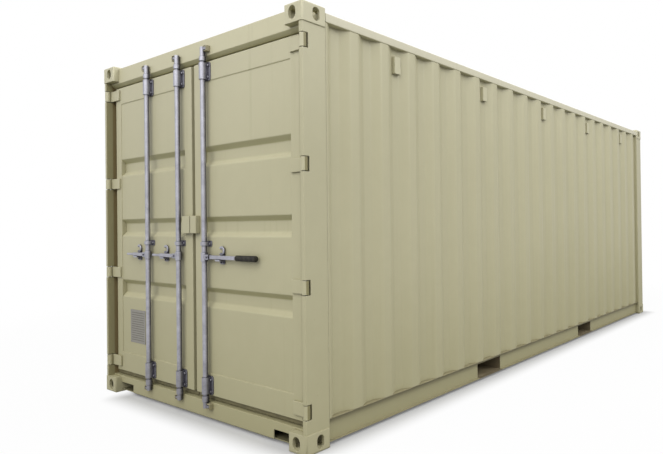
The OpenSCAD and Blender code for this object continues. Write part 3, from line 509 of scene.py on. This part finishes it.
# A darker copy of the khaki: road dirt, and painted shade for the low, overhung rails and sill.
SHADED_BASE_COAT = (0.352, 0.328, 0.192)
rail_base_paint = paint_finish("rail_base_paint", SHADED_BASE_COAT, 0.5, 0.15, 0.5, 0.0005, 420.0, dirt_and_shade=waxed_and_shaded_lip)
eased_copy("bottom_rails", "frame", rail_base_paint, 0.0015, chosen=lengthwise(1))
sill_paint = paint_finish("sill_paint", shaded(SHADED_BASE_COAT, 1.03), 0.5, 0.15, 0.5, 0.0005, 420.0,
                          dirt_and_shade=shaded_inside)
for node in ("front_sill", "door_sill"):
    eased_copy(node, "frame", sill_paint, 0.0015, chosen=lengthwise(0))


# Walls and roof: two-millimetre steel sheet, pressed into corrugations whose bends have a
# small radius, welded all round to posts and rails and sprayed in place.
wall_paint = paint_finish("wall_paint", KHAKI, 0.5, 0.12, 0.45, 0.0003, 480.0, chalk_and_top_light=0.04, hollow=0.12)
for node in ("side_wall_left", "side_wall_right", "front_wall"):
    eased_copy(node, "frame", wall_paint, 0.010, segments=3, bends=(12.0, 75.0))
eased_copy("roof", "frame", wall_paint, 0.005, segments=2, bends=(12.0, 75.0))


# Floor: plywood panels in two staggered rows, screwed down to pressed steel cross members; the
# members and the fork pockets under them wear a dark waxy coat against stones and salt.
def plywood_finish():
    """Varnished plywood with long grain and a dark scuffed tread."""
    finish, flow = new_finish("floor_plywood")
    place = flow.node("TexCoord", out=3)
    along = flow.node("Mapping", {}, {"Vector": place, "Scale": (22.0, 1.1, 22.0)})
    grain = flow.node("TexNoise", {}, {"Vector": along, "Scale": 1.0, "Detail": 6.0, "Roughness": 0.65,
                                       "Distortion": 0.8})
    fibre = flow.node("Mapping", {}, {"Vector": place, "Scale": (260.0, 7.0, 260.0)})
    fibre = flow.node("TexNoise", {}, {"Vector": fibre, "Scale": 1.0, "Detail": 2.0})
    scuff = flow.node("TexNoise", {}, {"Vector": place, "Scale": 2.3, "Detail": 6.0, "Roughness": 0.7})
    colour = blended(grain, (0.20, 0.105, 0.045), (0.42, 0.26, 0.13))
    colour = blended(fibre * 0.35, colour, (0.14, 0.075, 0.035))
    colour = blended(banded(scuff, 0.48, 0.72) * 0.5, colour, (0.13, 0.10, 0.075))
    skin = flow.node("Bump", {}, {"Strength": 0.4, "Distance": 0.0008, "Height": grain + 0.5 * fibre})
    close_finish(flow, Base_Color=colour, Roughness=0.5 + 0.25 * scuff, Normal=skin)
    return finish


def undercoat_finish(name, dark, dirt):
    """Dark waxy coat, runny and patched with dried dirt."""
    finish, flow = new_finish(name)
    place = flow.node("TexCoord", out=3)
    patches = flow.node("TexNoise", {}, {"Vector": place, "Scale": 6.0, "Detail": 5.0, "Roughness": 0.6})
    runs = flow.node("TexNoise", {}, {"Vector": place, "Scale": 70.0, "Detail": 3.0})
    colour = blended(banded(patches, 0.42, 0.7), dark, dirt)
    skin = flow.node("Bump", {}, {"Strength": 0.5, "Distance": 0.002, "Height": runs})
    close_finish(flow, Base_Color=colour, Roughness=0.45 + 0.35 * patches, Normal=skin)
    return finish


FLOOR_HALF_W, FLOOR_HALF_L = 1.163, 2.851
FLOOR_Z, FLOOR_T = 0.140, 0.028
PANEL_GAP, PANEL_EASE = 0.002, 0.002


def floor_panel(start_x, start_y, wide, long):
    """One plywood sheet with eased edges, in its place on the cross members."""
    middle = (start_x + wide / 2, start_y + long / 2, FLOOR_Z + FLOOR_T / 2)
    bpy.ops.object.select_all(action="DESELECT")
    bpy.ops.mesh.primitive_cube_add(size=1.0, location=middle)
    panel = bpy.context.active_object
    panel.scale = (wide - PANEL_GAP, long - PANEL_GAP, FLOOR_T)
    bpy.ops.object.transform_apply(location=True, rotation=True, scale=True)
    bpy.ops.object.mode_set(mode="EDIT")
    bpy.ops.mesh.select_all(action="SELECT")
    bpy.ops.mesh.bevel(offset=PANEL_EASE, segments=2)
    bpy.ops.object.mode_set(mode="OBJECT")
    return panel


PANEL_ENDS = {-1: (-FLOOR_HALF_L, -0.45, 1.95, FLOOR_HALF_L),
              1: (-FLOOR_HALF_L, -1.95, 0.45, FLOOR_HALF_L)}
panels = []
for side, ends in PANEL_ENDS.items():
    for near, far in zip(ends, ends[1:]):
        panels.append(floor_panel(min(0.0, side * FLOOR_HALF_W), near, FLOOR_HALF_W, far - near))
bpy.ops.object.select_all(action="DESELECT")
for panel in panels:
    panel.select_set(True)
floor_panels = bpy.context.view_layer.objects.active = panels[0]
bpy.ops.object.join()
bpy.ops.object.shade_smooth_by_angle(angle=SMOOTH_BELOW)
floor_panels.name = floor_panels.data.name = "floor_panels"
fixed_to(floor_panels, "frame", plywood_finish())
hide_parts("floor")

underbody_wax = undercoat_finish("underbody_wax", (0.035, 0.032, 0.026), (0.15, 0.125, 0.085))
eased_copy("cross_members", "frame", underbody_wax, 0.0012)
pocket_wax = undercoat_finish("pocket_wax", (0.18, 0.145, 0.085), (0.27, 0.225, 0.135))
eased_copy("fork_pockets", "frame", pocket_wax, 0.0012)


# Floor screws: countersunk self-tapping screws in a row over each cross member, their heads
# just proud of the plywood and worn bright.
# Painted shade for zinc hemmed in by nearby parts.
ZINC_SHADE = (0.055, 0.052, 0.07)
# A darker tone for zinc low down.
ZINC_LOW_TONE = (0.13, 0.12, 0.125)


def zinc_finish(name, dull, bright, spangle_scale):
    """Hot-dipped zinc: crystal spangle, cloudy bloom, painted highlights along edges, painted shade
    where the zinc is hemmed in by nearby parts, and darker towards the bottom."""
    finish, flow = new_finish(name)
    place = flow.node("TexCoord", out=3)
    spangle = flow.node("TexVoronoi", {}, {"Vector": place, "Scale": spangle_scale}, out=1)
    spangle = flow.node("SeparateXYZ", {}, {0: spangle})
    bloom = flow.node("TexNoise", {}, {"Vector": place, "Scale": 14.0, "Detail": 5.0, "Roughness": 0.65})
    softened, edge = edge_mask(flow, 0.0025, 0.03, 0.25)
    tone = 0.25 * spangle + 0.75 * banded(bloom, 0.25, 0.75)
    colour = blended(tone, dull, bright)
    # Painted highlight: edges lighter than the faces between them.
    colour = blended(edge * 0.5, colour, shaded(bright, 1.3))
    height = flow.node("SeparateXYZ", {}, {0: place}, out=2)
    # Darker towards the bottom.
    colour = blended(banded(height + 0.25 * (bloom - 0.5), 0.55, 0.15) * 0.5, colour, ZINC_LOW_TONE)
    # Painted shade: dark where ambient occlusion finds the zinc hemmed in, as on a bar's side towards the
    # leaf.
    open_air = flow.node("AmbientOcclusion", {"samples": 6}, {"Distance": 0.05}, out=1)
    colour = blended(banded(open_air + 0.15 * (bloom - 0.5), 0.94, 0.56) * 0.9, colour, ZINC_SHADE)
    skin = flow.node("Bump", {}, {"Strength": 0.15, "Distance": 0.0003, "Height": spangle + bloom,
                                  "Normal": softened})
    close_finish(flow, Base_Color=colour, Metallic=0.72 + 0.06 * bloom,
                 Roughness=0.34 + 0.22 * bloom, Normal=skin)
    return finish


def choose_faces(piece, test):
    """Selects, in edit mode, the faces whose middle and normal pass a test."""
    bpy.ops.mesh.select_all(action="DESELECT")
    shape = bmesh.from_edit_mesh(piece.data)
    for face in shape.faces:
        face.select_set(test(face.calc_center_median(), face.normal))
    bmesh.update_edit_mesh(piece.data)


def stud_head(radius, height, sides, name):
    """A domed head standing on the plane z = 0: a drum whose rim is drawn in twice."""
    bpy.ops.object.select_all(action="DESELECT")
    bpy.ops.mesh.primitive_cylinder_add(vertices=sides, radius=radius, depth=0.5 * height,
                                        location=(0, 0, 0.25 * height))
    head = bpy.context.active_object
    head.name = name
    bpy.ops.object.transform_apply(location=True, rotation=True, scale=True)
    bpy.ops.object.mode_set(mode="EDIT")
    bpy.ops.mesh.select_mode(type="FACE")
    choose_faces(head, lambda middle, normal: normal.z > 0.9)
    for share, rise in ((0.82, 0.32), (0.55, 0.18)):
        bpy.ops.mesh.extrude_region_move(TRANSFORM_OT_translate={"value": (0, 0, rise * height)})
        bpy.ops.transform.resize(value=(share, share, 1.0))
    bpy.ops.object.mode_set(mode="OBJECT")
    return head


SCREW_COLUMNS = (0.045, 0.32, 0.60, 0.88, 1.12)
SCREW_RADIUS, SCREW_HEIGHT, SCREW_SIDES = 0.006, 0.0012, 8
MEMBER_STEP, MEMBERS_EACH_WAY, CLEAR_OF_POCKET = 0.290, 9, 0.02
members = [k * MEMBER_STEP for k in range(-MEMBERS_EACH_WAY, MEMBERS_EACH_WAY + 1)]
members = [y for y in members if abs(abs(y) - POCKET_Y) > POCKET_HALF + CLEAR_OF_POCKET]
zinc = zinc_finish("dipped_zinc", (0.27, 0.27, 0.305), (0.43, 0.43, 0.48), 110.0)
screw_head = stud_head(SCREW_RADIUS, SCREW_HEIGHT, SCREW_SIDES, "screw_head")
floor_screws = laid_out(screw_head, "floor_screws", [
    ((side * column, member, FLOOR_Z + FLOOR_T), (0, 0, 0))
    for member in members for column in SCREW_COLUMNS for side in (-1, 1)])
fixed_to(floor_screws, "frame", zinc)


# Vent hoods: small pressed boxes over holes near the top of the walls, open at the bottom and
# sealed round their edge before painting.
# A lighter copy of the khaki: painted light against the shade of the wall's recess.
lit_vent_paint = paint_finish("lit_vent_paint", shaded(KHAKI, 1.07), 0.0, 0.1, 0.5, 0.0004, 420.0, hollow=0.05)
eased_copy("vents", "frame", lit_vent_paint, 0.0009)


# Door header: a box beam over the doors, folded from plate, its foot sloping back as a drip
# edge to the jamb that the doors close on.
# A lighter copy of the khaki: painted light on the header, high up under the light from above.
lit_header_paint = paint_finish("lit_header_paint", shaded(KHAKI, 1.12), 0.0, 0.12, 0.5, 0.0004, 420.0)
eased_copy("door_header", "frame", lit_header_paint, 0.0025, chosen=lengthwise(0))


# Hinge pins and cam keepers: forged steel. The pins, dipped in zinc, drive into the posts'
# lugs; the keepers are welded to header and sill and painted with them, their coat darker as painted shade,
# and worn.
eased_copy("hinge_pins", "frame", zinc)
# A darker copy of the paint: painted shade on the keepers.
shaded_keeper_paint = paint_finish("shaded_keeper_paint", (0.27, 0.24, 0.145), 0.3, 0.2, 0.5, 0.0005, 420.0)
eased_copy("cam_keepers", "frame", shaded_keeper_paint, 0.0012)


# Door leaves: pressed channel frames with a panel of ribbed sheet welded in, the panel's three
# pressed bands stiffening it; painted with the rest of the container.
DOORS = {"left": -1, "right": 1}
door_paint = paint_finish("door_paint", KHAKI, 0.5, 0.12, 0.45, 0.0003, 480.0)
for side in DOORS:
    eased_copy(f"{side}_door_frame", f"{side}_door", door_paint, 0.0025)
    eased_copy(f"{side}_door_panel", f"{side}_door", door_paint, 0.006, segments=3,
               bends=(12.0, 75.0))


# Panel welds: a bead along the head and the foot of each door panel, where the sheet meets
# the leaf's frame.
PANEL_X, PANEL_W = 0.108, 0.937
PANEL_FOOT, PANEL_HEAD = 0.318, 2.293
PANEL_FACE_Y, PANEL_BEAD = -2.973, 0.0035
for side, sign in DOORS.items():
    start_x = PANEL_X if sign > 0 else -PANEL_X - PANEL_W
    panel_welds = laid_out(weld_bead(PANEL_W, PANEL_BEAD), f"{side}_panel_welds", [
        ((start_x, PANEL_FACE_Y, z), (0, 0, 0)) for z in (PANEL_FOOT, PANEL_HEAD)])
    fixed_to(panel_welds, f"{side}_door", door_paint)


# Door seals: extruded rubber round each leaf, sprayed over with the container's paint where
# it faces out, the paint dulled and thin over the rubber.
def seal_finish():
    """Rubber under a thin dull coat of khaki that lets the dark show in patches, lighter at the top as
    painted light.
    """
    finish, flow = new_finish("painted_rubber")
    place = flow.node("TexCoord", out=3)
    height = flow.node("SeparateXYZ", {}, {0: place}, out=2)
    thin = flow.node("TexNoise", {}, {"Vector": place, "Scale": 18.0, "Detail": 5.0, "Roughness": 0.6})
    pores = flow.node("TexNoise", {}, {"Vector": place, "Scale": 300.0, "Detail": 2.0})
    # Lighter at the top: painted light for the gap under the header.
    colour = blended(banded(height, 2.25, 2.42), (0.17, 0.15, 0.075), (0.33, 0.31, 0.20))
    colour = blended(banded(thin, 0.35, 0.75) * 0.5, colour, (0.10, 0.09, 0.05))
    skin = flow.node("Bump", {}, {"Strength": 0.3, "Distance": 0.0005, "Height": pores})
    close_finish(flow, Base_Color=colour, Roughness=0.6 + 0.2 * thin, Normal=skin)
    return finish


painted_rubber = seal_finish()
for side in DOORS:
    eased_copy(f"{side}_door_seal", f"{side}_door", painted_rubber, 0.004, segments=3)


# Hinges: forged straps welded to the leaves, with bored knuckles that turn on the pins; painted
# shade darkens the back of each knuckle, in the post's cut-out.
# Painted shade behind each knuckle, in the post's cut-out.
KNUCKLE_SHADE_X, KNUCKLE_SHADE_Y = 1.200, -3.016
KNUCKLE_SHADE = (0.17, 0.15, 0.06)


def shaded_knuckle(flow, place, mottle):
    """Mask and colour of the painted shade behind the knuckles, where they turn in the
    posts."""
    aside = flow.math("ABSOLUTE", flow.node("SeparateXYZ", {}, {0: place}), 0.0)
    depth = flow.node("SeparateXYZ", {}, {0: place}, out=1) + 0.004 * (mottle - 0.5)
    behind = banded(depth, KNUCKLE_SHADE_Y - 0.002, KNUCKLE_SHADE_Y + 0.002)
    return banded(aside, KNUCKLE_SHADE_X - 0.003, KNUCKLE_SHADE_X) * behind * 0.9, KNUCKLE_SHADE


# The hinges' paint adds painted shade behind the knuckles.
hinge_paint = paint_finish("hinge_paint", KHAKI, 0.4, 0.1, 0.5, 0.0005, 420.0, dirt_and_shade=shaded_knuckle)
for side in DOORS:
    eased_copy(f"{side}_door_hinges", f"{side}_door", hinge_paint, 0.0015, bends=(60.0, 180.0),
               shortest=0.02)


# Bar brackets and handle catches: steel pressings dipped in zinc. The brackets guide the lock
# bars and the catches carry the handles; both are bolted to the leaves.
for side in DOORS:
    eased_copy(f"{side}_bar_brackets", f"{side}_door", zinc)
    eased_copy(f"{side}_handle_catches", f"{side}_door", zinc)


# Bolts: hexagon heads on round washers, zinc plated, through the bar brackets and the handle
# catches into the leaves.
def hex_bolt(across, washer):
    """A hexagon head on its washer, standing on the plane z = 0."""
    thick = 0.12 * across
    height = 0.62 * across
    bpy.ops.object.select_all(action="DESELECT")
    bpy.ops.mesh.primitive_cylinder_add(vertices=20, radius=washer, depth=thick, location=(0, 0, thick / 2))
    plate = bpy.context.active_object
    bpy.ops.object.mode_set(mode="EDIT")
    bpy.ops.mesh.select_mode(type="FACE")
    choose_faces(plate, lambda middle, normal: normal.z > 0.9)
    bpy.ops.mesh.bevel(offset=0.3 * thick, segments=1)
    bpy.ops.object.mode_set(mode="OBJECT")
    bpy.ops.mesh.primitive_cylinder_add(vertices=6, radius=across / math.sqrt(3), depth=height,
                                        location=(0, 0, thick + height / 2))
    head = bpy.context.active_object
    bpy.ops.object.mode_set(mode="EDIT")
    choose_faces(head, lambda middle, normal: normal.z > 0.9)
    bpy.ops.mesh.inset(thickness=0.09 * across)
    bpy.ops.transform.translate(value=(0, 0, 0.1 * across))
    bpy.ops.object.mode_set(mode="OBJECT")
    plate.select_set(True)
    bpy.ops.object.join()
    bpy.ops.object.transform_apply(location=True, rotation=True, scale=True)
    return head


LEAF_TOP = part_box("left_door_frame")[1][2]
OUTWARD = (math.pi / 2, 0, 0)
BRACKET_BOLT, SMALL_BOLT = (0.013, 0.009), (0.010, 0.0075)
BARS = {"left": {"left_outer": -0.580, "left_inner": -0.152}, "right": {"right": 0.172}}
CATCHES = {"left": (-0.755, -0.362), "right": (0.340,)}
END_BOLT_X, END_PLATE_Y = 0.037, -2.983
MIDDLE_BOLT_X, MIDDLE_BOLT_Z = 0.032, 1.192
CATCH_BOLT_X, CATCH_BOLT_Z, PANEL_PLATE_Y = 0.014, 1.068, -2.979
end_heights = (0.202, 0.280, LEAF_TOP - 0.108, LEAF_TOP - 0.030)
for side in DOORS:
    places = []
    for x in BARS[side].values():
        for step in (-1, 1):
            places += [((x + step * END_BOLT_X, END_PLATE_Y, z), OUTWARD) for z in end_heights]
            places.append(((x + step * MIDDLE_BOLT_X, PANEL_PLATE_Y, MIDDLE_BOLT_Z), OUTWARD))
    bracket_bolts = laid_out(hex_bolt(*BRACKET_BOLT), f"{side}_bracket_bolts", places)
    fixed_to(bracket_bolts, f"{side}_door", zinc)
    places = [((x + step * CATCH_BOLT_X, PANEL_PLATE_Y, CATCH_BOLT_Z), OUTWARD)
              for x in CATCHES[side] for step in (-1, 1)]
    catch_bolts = laid_out(hex_bolt(*SMALL_BOLT), f"{side}_catch_bolts", places)
    fixed_to(catch_bolts, f"{side}_door", zinc)


# Lock box: a hood of steel plate over the gap between the leaves, one half fixed to each of
# them, painted with the rest of the container.
for side in DOORS:
    eased_copy(f"{side}_lock_plate", f"{side}_door", frame_paint, 0.002)


# Data plate: thin brushed metal, riveted to the left leaf; its rows are bare ruled lines
# pressed up from the sheet, with nothing written on them.
def plate_finish(name, dull, bright):
    """Brushed metal plate, dulled and finger-marked."""
    finish, flow = new_finish(name)
    place = flow.node("TexCoord", out=3)
    along = flow.node("Mapping", {}, {"Vector": place, "Scale": (12.0, 300.0, 900.0)})
    brushed = flow.node("TexNoise", {}, {"Vector": along, "Scale": 1.0, "Detail": 3.0})
    marks = flow.node("TexNoise", {}, {"Vector": place, "Scale": 30.0, "Detail": 4.0})
    colour = blended(brushed, dull, bright)
    skin = flow.node("Bump", {}, {"Strength": 0.2, "Distance": 0.0002, "Height": brushed})
    close_finish(flow, Base_Color=colour, Metallic=0.25 + 0.15 * marks,
                 Roughness=0.42 + 0.2 * marks, Normal=skin)
    return finish


def ruled_line(long, tall, proud):
    """A low pressed line lying along +X, facing -Y, with drawn-in edges."""
    bpy.ops.object.select_all(action="DESELECT")
    bpy.ops.mesh.primitive_plane_add(size=1.0, location=(0, 0, 0), rotation=(math.pi / 2, 0, 0))
    line = bpy.context.active_object
    line.scale = (long, tall, 1.0)
    bpy.ops.object.transform_apply(location=True, rotation=True, scale=True)
    bpy.ops.object.mode_set(mode="EDIT")
    bpy.ops.mesh.select_mode(type="FACE")
    bpy.ops.mesh.select_all(action="SELECT")
    bpy.ops.mesh.extrude_region_move(TRANSFORM_OT_translate={"value": (0, -proud, 0)})
    bpy.ops.transform.resize(value=(1.0 - tall / long * 0.3, 1.0, 0.7))
    bpy.ops.object.mode_set(mode="OBJECT")
    return line


PLATE_X, PLATE_Z, PLATE_Y = (-0.917, -0.691), (0.412, 0.668), -2.976
LINE_LONG, LINE_TALL, LINE_PROUD = 0.190, 0.005, 0.0006
FIRST_LINE, LINE_STEP, LINE_COUNT = 0.023, 0.0175, 13
RIVET_RADIUS, RIVET_HEIGHT, RIVET_SIDES, RIVET_INSET = 0.0035, 0.0022, 12, 0.008
brushed_plate = plate_finish("brushed_plate", (0.20, 0.19, 0.165), (0.27, 0.26, 0.23))
eased_copy("data_plate", "left_door", brushed_plate, 0.0008)
plate_middle = sum(PLATE_X) / 2
plate_lines = laid_out(ruled_line(LINE_LONG, LINE_TALL, LINE_PROUD), "data_plate_lines", [
    ((plate_middle, PLATE_Y, PLATE_Z[0] + FIRST_LINE + row * LINE_STEP), (0, 0, 0))
    for row in range(LINE_COUNT)], sharp=20.0)
line_enamel = plate_finish("line_enamel", (0.085, 0.08, 0.06), (0.13, 0.12, 0.09))
fixed_to(plate_lines, "left_door", line_enamel)
rivet_head = stud_head(RIVET_RADIUS, RIVET_HEIGHT, RIVET_SIDES, "rivet_head")
plate_rivets = laid_out(rivet_head, "data_plate_rivets", [
    ((x, PLATE_Y, z), OUTWARD) for x in (PLATE_X[0] + RIVET_INSET, PLATE_X[1] - RIVET_INSET)
    for z in (PLATE_Z[0] + RIVET_INSET, PLATE_Z[1] - RIVET_INSET)])
fixed_to(plate_rivets, "left_door", zinc)


# Lock bars: zinc-dipped steel tube with a cam at each end, turning in the brackets; a bolt
# through the fork at hand height holds each handle.
PIVOT_REACH, PIVOT_Z, CHEEK_Y = 0.044, 1.103, -3.0185
for side, sign in DOORS.items():
    for name, x in BARS[side].items():
        eased_copy(f"{name}_bar", f"{name}_bar", zinc)
        pivot_bolt = laid_out(hex_bolt(*SMALL_BOLT), f"{name}_pivot_bolt", [
            ((x + sign * PIVOT_REACH, CHEEK_Y, PIVOT_Z), OUTWARD)])
        fixed_to(pivot_bolt, f"{name}_bar", zinc)


# Handles: forged rods pinned in the bars' forks; the longest has a black rubber grip, moulded
# with rings for the hand.
def grip_finish():
    """Black rubber, dusty and rubbed grey."""
    finish, flow = new_finish("black_rubber")
    place = flow.node("TexCoord", out=3)
    dust = flow.node("TexNoise", {}, {"Vector": place, "Scale": 40.0, "Detail": 5.0, "Roughness": 0.6})
    pores = flow.node("TexNoise", {}, {"Vector": place, "Scale": 700.0, "Detail": 2.0})
    colour = blended(banded(dust, 0.4, 0.75), (0.012, 0.011, 0.009), (0.042, 0.039, 0.030))
    skin = flow.node("Bump", {}, {"Strength": 0.35, "Distance": 0.0006, "Height": pores})
    close_finish(flow, Base_Color=colour, Roughness=0.6 + 0.25 * dust, Specular_IOR_Level=0.3, Normal=skin)
    return finish


def ringed_grip(low, high, rings):
    """Rubber sleeve that fills the box from low to high, grooved between its rings."""
    long = high[0] - low[0]
    radius = (high[2] - low[2]) / 2
    middle = [(a + b) / 2 for a, b in zip(low, high)]
    bpy.ops.object.select_all(action="DESELECT")
    bpy.ops.mesh.primitive_cylinder_add(vertices=32, radius=radius, depth=long, location=middle,
                                        rotation=(0, math.pi / 2, 0))
    grip = bpy.context.active_object
    bpy.ops.object.transform_apply(location=True, rotation=True, scale=True)
    bpy.ops.object.mode_set(mode="EDIT")
    bpy.ops.mesh.select_mode(type="EDGE")
    bpy.ops.mesh.select_all(action="DESELECT")
    shape = bmesh.from_edit_mesh(grip.data)
    for edge in shape.edges:
        first, second = (corner.co for corner in edge.verts)
        edge.select_set(abs(first.x - second.x) > 0.9 * long)
    bmesh.update_edit_mesh(grip.data)
    bpy.ops.mesh.subdivide(number_cuts=4 * rings - 1)
    step = long / (4 * rings)
    bpy.ops.mesh.select_mode(type="VERT")
    bpy.ops.mesh.select_all(action="DESELECT")
    shape = bmesh.from_edit_mesh(grip.data)
    for corner in shape.verts:
        count = round((corner.co.x - low[0]) / step)
        corner.select_set(count % 4 == 0)
    bmesh.update_edit_mesh(grip.data)
    bpy.ops.transform.resize(value=(1.0, 0.85, 0.85), center_override=middle)
    bpy.ops.object.mode_set(mode="OBJECT")
    bpy.ops.object.shade_smooth_by_angle(angle=math.radians(60))
    grip.name = grip.data.name = "ringed_grip"
    return grip


for handle in ("left_outer_handle", "left_inner_handle", "right_handle"):
    eased_copy(handle, handle, zinc)
GRIP_RINGS = 13
grip = ringed_grip(*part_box("right_handle_grip"), GRIP_RINGS)
fixed_to(grip, "right_handle", grip_finish())
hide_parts("right_handle_grip")
